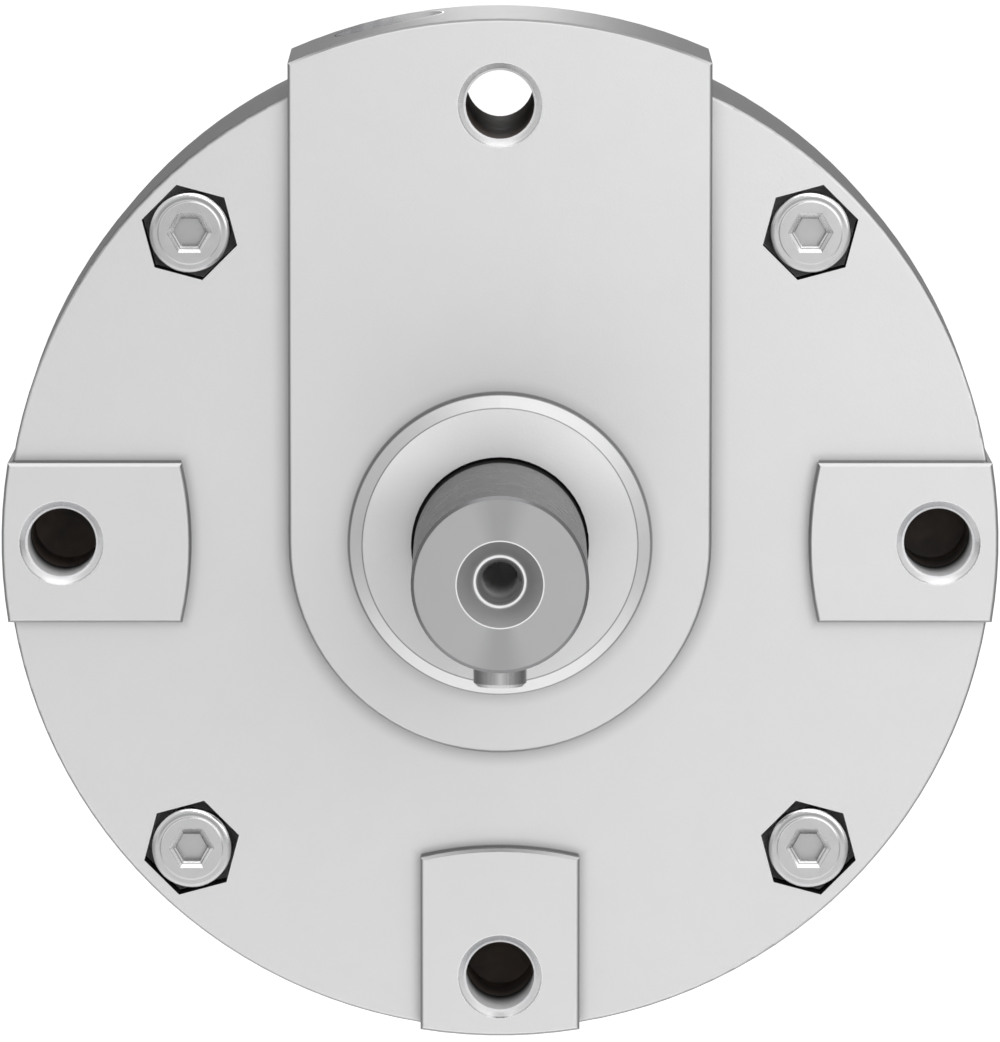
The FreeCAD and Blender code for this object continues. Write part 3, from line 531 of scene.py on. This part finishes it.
def turned_steel():
    steel = Finish("turned_steel", specular_tint=GRAZING_GREY)
    across, along, height = steel.split(steel.place())
    from_axis = length(across, height)
    turn = height.math("ARCTAN2", across)
    # Painted reflection: the end face is lighter in wedges to the sides of its axis, darker at top
    # and bottom.
    sheen_wedge = steel.fade(abs(across) / from_axis, *WEDGE_SIDES)
    scratch = streaks(steel, along, turn * 0.0005, 9000.0)
    face = within(steel, from_axis, SHAFT_FACE, 0.00015)
    marks = rings(from_axis, 0.00016)
    cloud = noise(steel, 300.0, 2.0)
    shine = sheen_wedge * 0.7 + marks * 0.15 + (cloud - 0.5) * 0.2
    turned_face = steel.tint(shine, FACE_DARK, FACE_LIGHT)
    ground_side = steel.tint(scratch * 0.3 + cloud * 0.2 + 0.2, SIDE_DARK, SIDE_LIGHT)
    bare = steel.tint(face, ground_side, turned_face)

    # The centre hole: a grey cone between two painted highlight lines, and a bore painted
    # dark at its mouth and painted light deeper in.
    near_end = within(steel, along, SHAFT_END + 0.0045, 0.0005)
    cone = within(steel, from_axis, CONE_MOUTH - 0.00004, 0.00004) * near_end * steel.fade(
        from_axis, CONE_THROAT, CONE_THROAT + 0.00005)
    lip = line(steel, from_axis, CONE_MOUTH + 0.00006, 0.00011) * near_end
    throat = line(steel, from_axis, CONE_THROAT - 0.00008, 0.00024) * near_end
    inside = within(steel, from_axis, CONE_THROAT - 0.0003)
    deep = steel.fade(along, SHAFT_END + 0.0040, SHAFT_END + 0.0100)
    steel.set(metallic=(1 - cone * 0.55) * (1 - inside))
    bare = steel.tint(inside, bare, steel.tint(deep, BORE_MOUTH_SHADE, BORE_DEEP_LIGHT))
    bare = steel.tint(most(lip, throat), steel.tint(cone, bare, CONE_GREY), EDGE_PAINTED_HIGHLIGHT)
    # Painted shade on the shaft where it runs into the hub's bore.
    gap_shade = (steel.fade(along, *GAP_SHADE_START) * (1 - steel.fade(along, *GAP_SHADE_END))
               * (1 - inside))
    steel.set(base_color=steel.tint(gap_shade, bare, PAINTED_SHADE_BLACK))
    steel.set(roughness=face * 0.06 + 0.28 + (cloud - 0.5) * 0.08 + gap_shade * 0.5)
    height_map = marks * face + scratch * (1 - face) * 0.15
    steel.set(normal=bump(steel, height_map, 0.0000015, 0.5))
    return steel.material


def key_steel():
    steel = Finish("key_steel", metallic=1.0)
    across, along, _ = steel.split(steel.place())
    drawn = streaks(steel, across, along * 0.03, 5000.0)
    # Painted shade on the flanks of the key's rounded end.
    rounded_end = within(steel, along, KEY_ROUND_END - 0.0002, 0.0002)
    flank_shade = steel.fade(abs(across), *KEY_ROUNDING) * rounded_end
    bar = steel.tint(drawn, KEY_DARK, KEY_LIGHT)
    steel.set(base_color=steel.tint(flank_shade, bar, KEY_FLANK_SHADE))
    steel.set(roughness=(drawn - 0.5) * 0.1 + 0.28)
    return steel.material


wear(turned_steel(), "output_shaft")
wear(key_steel(), "shaft_key")


# Threads. The tapped threads of the shaft's centre hole and of the two air ports,
# each a closed helix of fine ridges on its bore's wall.
THREAD_DEPTH = 0.0004
THREAD_SINK = 0.00008
RIDGE_SHARE = 0.9
TURN_STEPS = 32
CENTRE_PITCH = 0.001
CENTRE_BORE = 0.0025
CENTRE_START = -0.0389
CENTRE_REACH = 0.0164
PORT_PITCH = 0.000907
PORT_BORE = 0.0044
LEFT_MOUTH = 0.0571
LEFT_REACH = 0.0072
RIGHT_MOUTH = 0.0540
RIGHT_REACH = 0.0061


def thread(name, radius, pitch, reach, place):
    """A V-shaped ridge inside a bore, wound along Y from the origin, then placed."""
    ridge = bmesh.new()
    foot = radius + THREAD_SINK
    width = pitch * RIDGE_SHARE
    corners = [ridge.verts.new((foot, 0, 0)),
               ridge.verts.new((radius - THREAD_DEPTH, width / 2, 0)),
               ridge.verts.new((foot, width, 0))]
    profile = ridge.faces.new(corners)
    turns = reach / pitch - 1
    steps = int(turns * TURN_STEPS)
    bmesh.ops.spin(ridge, geom=[profile], cent=(0, 0, 0), axis=(0, 1, 0),
                   dvec=(0, turns * pitch / steps, 0), angle=turns * 2 * math.pi,
                   steps=steps, use_merge=False)
    bmesh.ops.transform(ridge, matrix=place, verts=ridge.verts)
    bmesh.ops.recalc_face_normals(ridge, faces=ridge.faces)
    mesh = bpy.data.meshes.new(name)
    ridge.to_mesh(mesh)
    ridge.free()
    piece = bpy.data.objects.new(name, mesh)
    bpy.context.scene.collection.objects.link(piece)
    return piece


def on_port(across, along, mouth):
    """Turns a thread so that it runs down from a port's mouth on the casing's top."""
    return Matrix.Translation((across, along, mouth)) @ Matrix.Rotation(-math.pi / 2, 4, "X")


centre_thread = thread("centre_thread", CENTRE_BORE, CENTRE_PITCH, CENTRE_REACH,
                       Matrix.Translation((0, CENTRE_START, 0)))
centre_thread.data.materials.append(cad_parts["output_shaft"].data.materials[0])
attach(centre_thread, "rotor")

left_thread = thread("left_port_thread", PORT_BORE, PORT_PITCH, LEFT_REACH,
                     on_port(-PORT_OFFSET, PARTING - PORT_FROM_PARTING, LEFT_MOUTH))
right_thread = thread("right_port_thread", PORT_BORE, PORT_PITCH, RIGHT_REACH,
                      on_port(PORT_OFFSET, PARTING + PORT_FROM_PARTING, RIGHT_MOUTH))
for port_thread in (left_thread, right_thread):
    port_thread.data.materials.append(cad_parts["front_housing"].data.materials[0])
    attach(port_thread, "housing")


# Seals and cushions. Black nitrile for the sealing ring, the strips and the lip
# seals, a browner moulded rubber for the two stop cushions.
def rubber(name, dark, light, rough):
    moulded = Finish(name)
    bloom = noise(moulded, 400.0, 4.0)
    moulded.set(base_color=moulded.tint(moulded.fade(bloom, 0.4, 0.75), dark, light))
    moulded.set(roughness=(bloom - 0.5) * 0.2 + rough)
    moulded.set(normal=bump(moulded, noise(moulded, 6000.0), 0.00001, 0.5))
    return moulded.material


wear(rubber("seal_rubber", (0.010, 0.010, 0.011), (0.030, 0.030, 0.031), 0.5),
     "housing_seal", "stator_seal", "vane_seal", "front_shaft_seal", "rear_shaft_seal")
wear(rubber("cushion_rubber", (0.040, 0.026, 0.020), (0.075, 0.052, 0.042), 0.65),
     "stop_cushion_left", "stop_cushion_right")


# Stator. The block between the two air ports, moulded in glass-filled polymer. It
# is dark grey with pale specks, where the ends of the fibres show.
def stator_polymer():
    block = Finish("stator_polymer")
    speck = block.fade(noise(block, 5200.0, 1.0), 0.62, 0.72)
    block.set(base_color=block.tint(speck, (0.060, 0.062, 0.066), (0.16, 0.16, 0.165)))
    block.set(roughness=speck * 0.15 + 0.45)
    block.set(normal=bump(block, noise(block, 2600.0), 0.00001, 0.4))
    return block.material


wear(stator_polymer(), "stator")


# Vane rotor. The hub and its one vane, milled from one piece of aluminium. The
# cutter leaves straight fine marks along the shaft.
def vane_aluminium():
    milled = Finish("vane_aluminium", metallic=0.9)
    across, along, height = milled.split(milled.place())
    strokes = streaks(milled, across + height, along * 0.04, 4200.0)
    milled.set(base_color=milled.tint(strokes, (0.62, 0.62, 0.63), (0.80, 0.80, 0.81)))
    milled.set(roughness=(strokes - 0.5) * 0.15 + 0.32)
    milled.set(normal=bump(milled, strokes, 0.000003, 0.5))
    return milled.material


wear(vane_aluminium(), "vane_rotor")


# Ground pins and wear sleeves, polished bearing rings and balls, brass cages.
# Painted shade darkens what lies close to the shaft, in the gap of the casing's bore.
BORE_GAP = 0.0106


def fine_metal(name, dark, light, rough):
    metal = Finish(name)
    across, _, height = metal.split(metal.place())
    from_axis = length(across, height)
    # Painted shade in the bore's gap.
    gap_shade = within(metal, from_axis, BORE_GAP, 0.0004)
    polish = noise(metal, 1800.0, 3.0)
    metal.set(base_color=metal.tint(gap_shade, metal.tint(polish, dark, light), PAINTED_SHADE_BLACK))
    metal.set(metallic=1 - gap_shade)
    metal.set(roughness=(polish - 0.5) * 0.08 + rough + gap_shade * 0.6)
    metal.set(normal=bump(metal, rings(from_axis, 0.00012), 0.0000008, 0.3))
    return metal.material


wear(fine_metal("ground_steel", (0.50, 0.50, 0.51), (0.60, 0.60, 0.61), 0.22),
     "stator_pins", "rotor_drive_pins", "front_wear_sleeve", "rear_wear_sleeve")
wear(fine_metal("bearing_steel", (0.60, 0.60, 0.61), (0.68, 0.68, 0.69), 0.10),
     "front_bearing_inner_ring", "front_bearing_outer_ring", "front_bearing_balls",
     "rear_bearing_inner_ring", "rear_bearing_outer_ring", "rear_bearing_balls")
wear(fine_metal("cage_brass", (0.62, 0.45, 0.20), (0.74, 0.56, 0.28), 0.28),
     "front_bearing_cage", "rear_bearing_cage")
